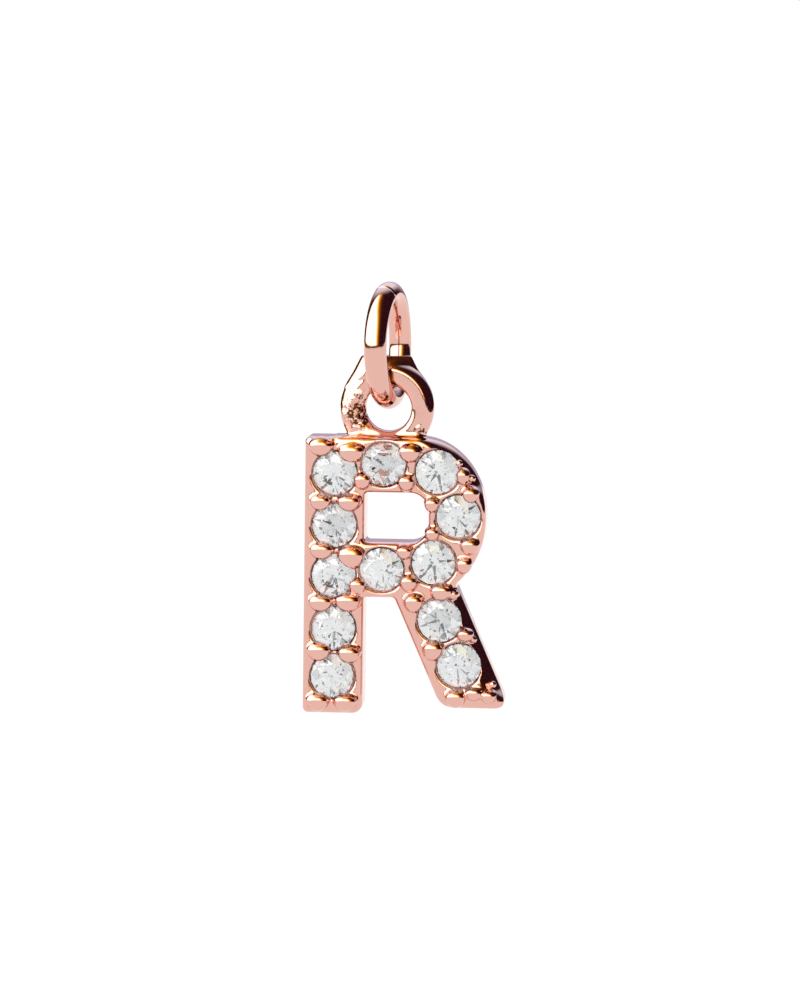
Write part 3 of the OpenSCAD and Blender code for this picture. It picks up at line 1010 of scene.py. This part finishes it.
def window_share(tree, x, y, z):
    """How much of the window is seen in a direction."""
    height = times(tree, z, z)
    side = maths(tree, "ADD", x, times(tree, y, SIDE_LEAN))
    side = maths(tree, "ADD", side, times(tree, times(tree, height, height), SIDE_CLOSING))
    far = maths(tree, "ADD", y, times(tree, x, FAR_LEAN))
    far = maths(tree, "ADD", far, times(tree, height, FAR_CLOSING))
    left, front, raised = (
        spread(tree, value, *edge, kind="SMOOTHSTEP")
        for value, edge in ((side, WINDOW_SIDE), (far, WINDOW_FAR), (z, WINDOW_SILL))
    )
    return times(tree, times(tree, left, front), raised)


def backdrop_share(tree, x, y, z):
    """How much of the backdrop is seen in a direction."""
    aside = times(tree, maths(tree, "ABSOLUTE", x), BACKDROP_ASIDE)
    aside = times(tree, aside, maths(tree, "SUBTRACT", 1.0, z))
    behind = maths(tree, "ADD", y, times(tree, z, BACKDROP_OVERHEAD))
    within = maths(tree, "SUBTRACT", behind, aside)
    return spread(tree, within, *BACKDROP_EDGE, kind="SMOOTHSTEP")


def studio_light():
    """A tall window to the left of the camera, a pale backdrop behind the part and overhead, and a
    dark room in between. Polished metal sees the room as warm brown, stones see it as grey, and
    the rest sees even white."""
    world = bpy.data.worlds.new("studio")
    bpy.context.scene.world = world
    world.use_nodes = True
    tree = world.node_tree
    place = tree.nodes.new("ShaderNodeTexCoord")
    x, y, z = split(tree, place.outputs["Generated"])
    window = window_share(tree, x, y, z)
    backdrop = backdrop_share(tree, x, y, z)

    fade = tree.nodes.new("ShaderNodeValToRGB")
    ramp = fade.color_ramp
    while len(ramp.elements) < len(WINDOW_FADE):
        ramp.elements.new(0.5)
    for element, (share, colour) in zip(ramp.elements, WINDOW_FADE):
        element.position = share
        element.color = (*colour, 1)
    tree.links.new(window, fade.inputs["Fac"])
    level = (WINDOW_LIGHT, WINDOW_LIGHT, WINDOW_LIGHT, 1)
    glow = mixed(tree, 1.0, fade.outputs["Color"], level, "MULTIPLY")
    raised = spread(tree, z, *BACKDROP_HEIGHTS, kind="SMOOTHSTEP")
    warm = mixed(tree, backdrop, glow, mixed(tree, raised, BACKDROP_LOW, BACKDROP_HIGH))
    plain = mixed(tree, backdrop, mixed(tree, window, STONE_DARK, STONE_LIGHT), STONE_BACK)
    rays = tree.nodes.new("ShaderNodeLightPath").outputs
    seen = mixed(tree, rays["Is Glossy Ray"], (1, 1, 1, 1), warm)
    seen = mixed(tree, rays["Is Transmission Ray"], seen, plain)
    background = tree.nodes["Background"].inputs
    tree.links.new(seen, background["Color"])
    background["Strength"].default_value = 1.0


# The camera: how far it stands round to the right of the letter's face and above it, its lens and
# sensor, the height of the photograph's frame in millimetres, and how far the middle of that
# frame lies to the right of the part's origin and below it
CAMERA_AZIMUTH = math.radians(4)
CAMERA_ELEVATION = math.radians(5)
LENS = 200
SENSOR = 36
FRAME_H = 28.9
FRAME_RIGHT = 0.313
FRAME_DOWN = 5.661


def make_camera():
    """A long lens at the photograph's angle, level with the middle of its frame."""
    azimuth, elevation = CAMERA_AZIMUTH, CAMERA_ELEVATION
    ahead = np.array([-math.sin(azimuth), math.cos(azimuth), 0]) * math.cos(elevation)
    look = ahead - np.array([0, 0, math.sin(elevation)])
    right = np.array([math.cos(azimuth), math.sin(azimuth), 0])
    up = np.cross(right, look)
    middle = right * FRAME_RIGHT * MM - up * FRAME_DOWN * MM
    distance = FRAME_H * MM * LENS / SENSOR
    camera = bpy.data.cameras.new("camera")
    camera.lens = LENS
    camera.sensor_width = SENSOR
    camera.clip_start = 0.001
    thing = placed("camera", camera)
    thing.location = middle - look * distance
    thing.rotation_euler = (math.pi / 2 - elevation, 0, azimuth)
    bpy.context.scene.camera = thing


make_camera()
studio_light()
make_floor()
bpy.context.scene.view_settings.view_transform = "Standard"

rose_metal = polished_rose_metal()
brilliant = clear_stone()

casting = make_casting()
dress(casting, rose_metal)
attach(casting, "letter")
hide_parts("letter_setting")

ring = make_jump_ring(rose_metal)
dress(ring, rose_metal)
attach(ring, "ring")
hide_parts("jump_ring")

for i in STONE_NUMBERS:
    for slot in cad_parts[stone_name(i)].material_slots:
        slot.material = brilliant
